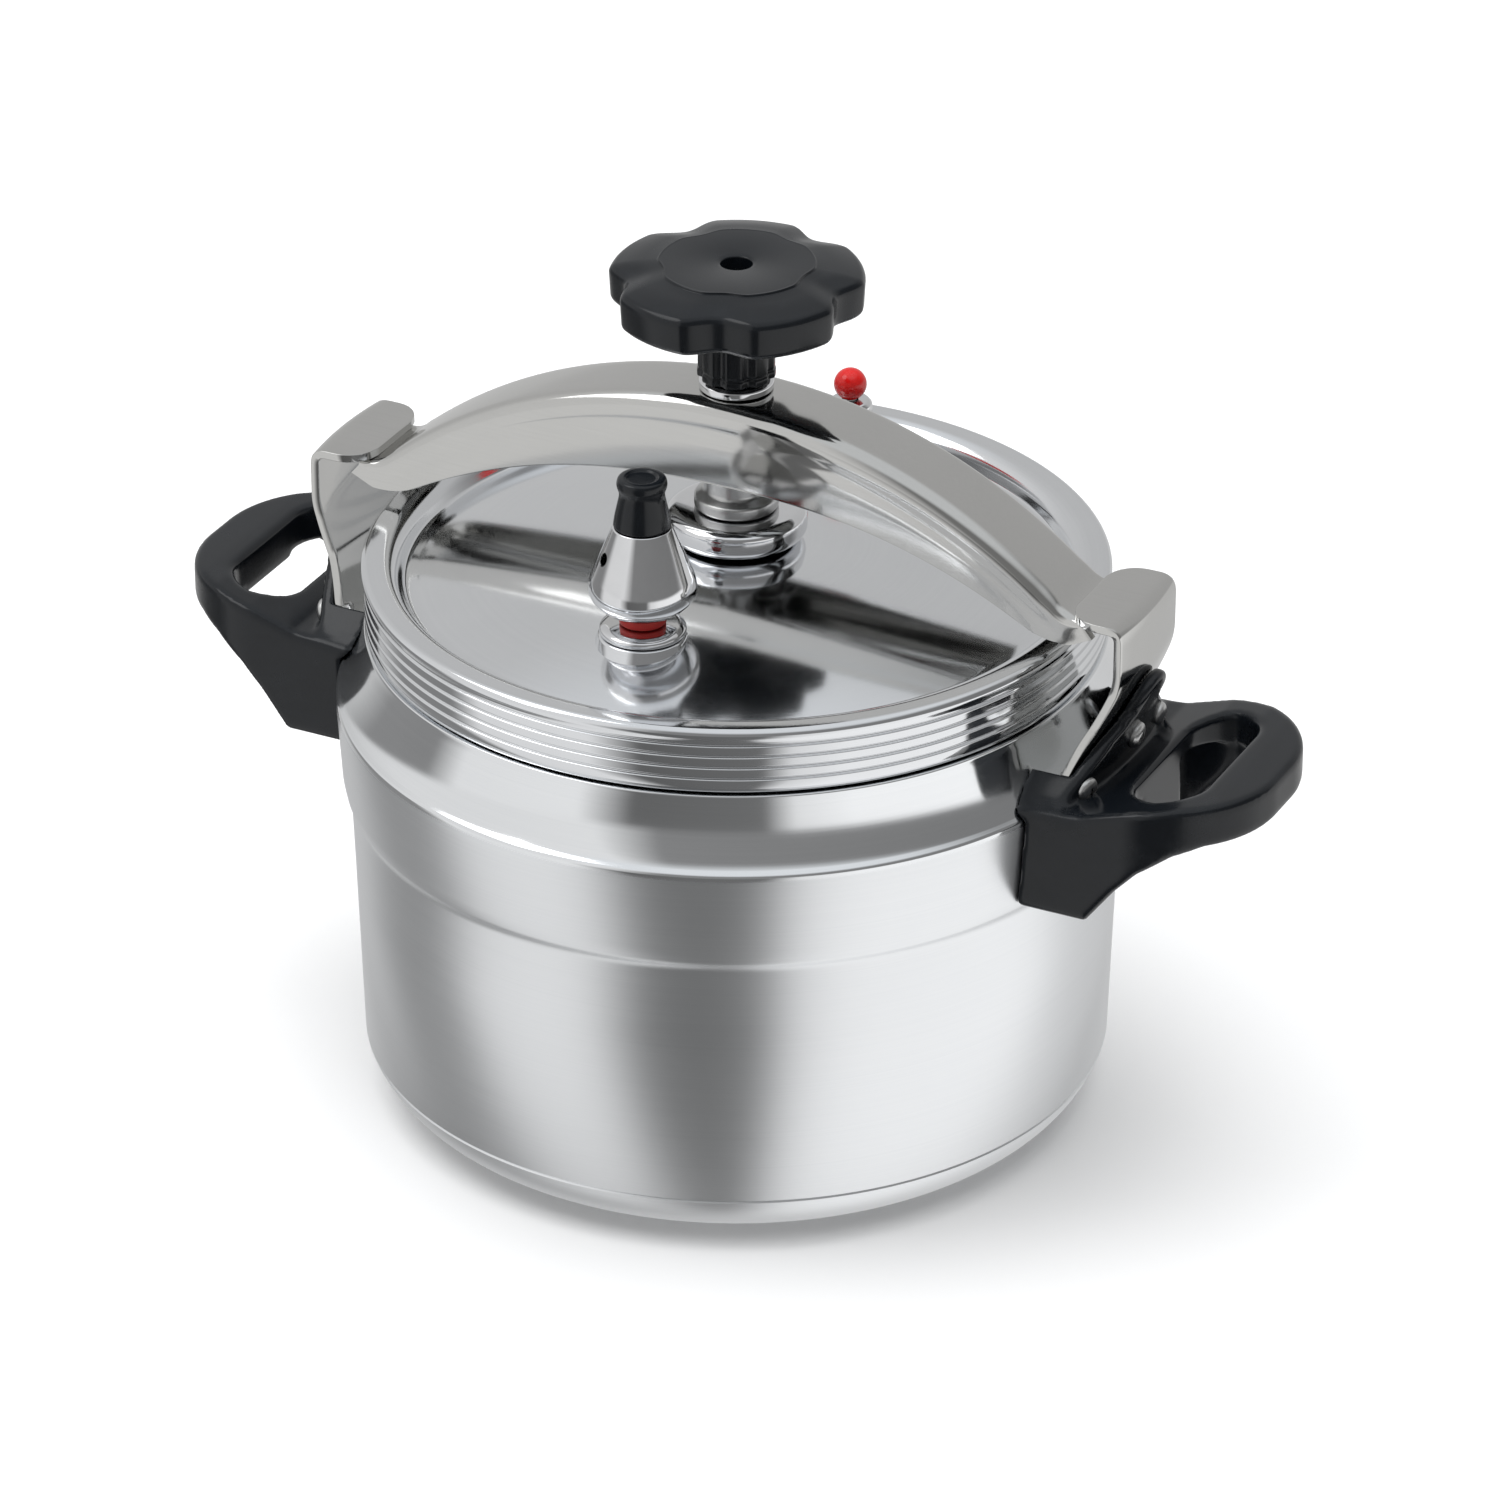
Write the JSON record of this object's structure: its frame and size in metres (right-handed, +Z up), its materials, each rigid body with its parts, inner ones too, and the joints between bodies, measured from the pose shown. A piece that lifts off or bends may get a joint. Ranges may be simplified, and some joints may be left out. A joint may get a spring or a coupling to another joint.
{
  "type": "stovetop pressure cooker",
  "caption": "Aluminium stovetop pressure cooker: round pot, domed lid held under two side hooks by an arched beam and a screw knob, weighted vent, red safety float, loop handles.",
  "frame": {"origin": "centre of the flat base, on the surface the pot stands on", "axes": "+Z up through the screw, +X through the right handle, -Y towards the weighted vent"},
  "size_m": [0.368, 0.248, 0.2776],
  "materials": {
    "pot_aluminium": "turned and brushed satin wall with a polished shoulder",
    "lid_aluminium": "mirror polished",
    "polished_steel": "buffed to a soft mirror",
    "chrome": "bright plated",
    "fastener_steel": "turned steel, slightly dull",
    "bakelite": "moulded, semi-gloss",
    "red_silicone": "smooth moulded",
    "red_cap": "glossy",
    "gasket_rubber": "matte moulded"
  },
  "bodies": {
    "pot": {"pot_body": "pot_aluminium", "hook_right": "polished_steel", "handle_right": "bakelite", "hook_rivet_right_1": "fastener_steel", "hook_rivet_right_2": "fastener_steel", "hook_rivet_right_3": "fastener_steel", "handle_screw_right_1": "fastener_steel", "handle_screw_right_2": "fastener_steel", "handle_screw_right_3": "fastener_steel", "hook_left": "polished_steel", "handle_left": "bakelite", "hook_rivet_left_1": "fastener_steel", "hook_rivet_left_2": "fastener_steel", "hook_rivet_left_3": "fastener_steel", "handle_screw_left_1": "fastener_steel", "handle_screw_left_2": "fastener_steel", "handle_screw_left_3": "fastener_steel"},
    "lid": {"lid": "lid_aluminium", "lid_gasket": "gasket_rubber", "center_boss": "chrome", "boss_rivet": "fastener_steel", "vent_stem": "chrome", "vent_seal": "red_silicone", "vent_nut": "fastener_steel", "vent_filter": "fastener_steel", "safety_housing": "chrome", "safety_seal": "gasket_rubber", "safety_nut": "fastener_steel"},
    "weight": {"weight_body": "chrome", "weight_needle": "fastener_steel", "weight_cap": "bakelite"},
    "float": {"float_pin": "fastener_steel", "float_cap": "red_cap"},
    "beam": {"clamp_beam": "polished_steel", "beam_bush": "chrome"},
    "foot": {"screw_foot": "fastener_steel", "foot_clip": "fastener_steel"},
    "knob": {"knob": "bakelite", "clamp_screw": "fastener_steel", "knob_insert": "fastener_steel", "knob_lock_screw": "fastener_steel"}
  },
  "joints": [
    {"name": "lid_turn", "type": "hinge", "parent": "pot", "child": "lid", "pos_m": [0, 0, 0], "axis": [0, 0, 1], "continuous": true},
    {"name": "beam_turn", "type": "hinge", "parent": "lid", "child": "beam", "pos_m": [0, 0, 0], "axis": [0, 0, 1], "range_deg": [-50, 50]},
    {"name": "foot_lift", "type": "slide", "parent": "beam", "child": "foot", "axis": [0, 0, 1], "range_m": [0, 0.008]},
    {"name": "knob_turn", "type": "hinge", "parent": "foot", "child": "knob", "pos_m": [0, 0, 0], "axis": [0, 0, 1], "range_deg": [0, 1440]},
    {"name": "weight_lift", "type": "slide", "parent": "lid", "child": "weight", "axis": [0, 0, 1], "range_m": [0, 0.03]},
    {"name": "float_rise", "type": "slide", "parent": "lid", "child": "float", "axis": [0, 0, 1], "range_m": [0, 0.004]}
  ],
  "couplings": [
    {"joint": "foot_lift", "follows": "knob_turn", "m_per_rad": 0.0003183}
  ]
}
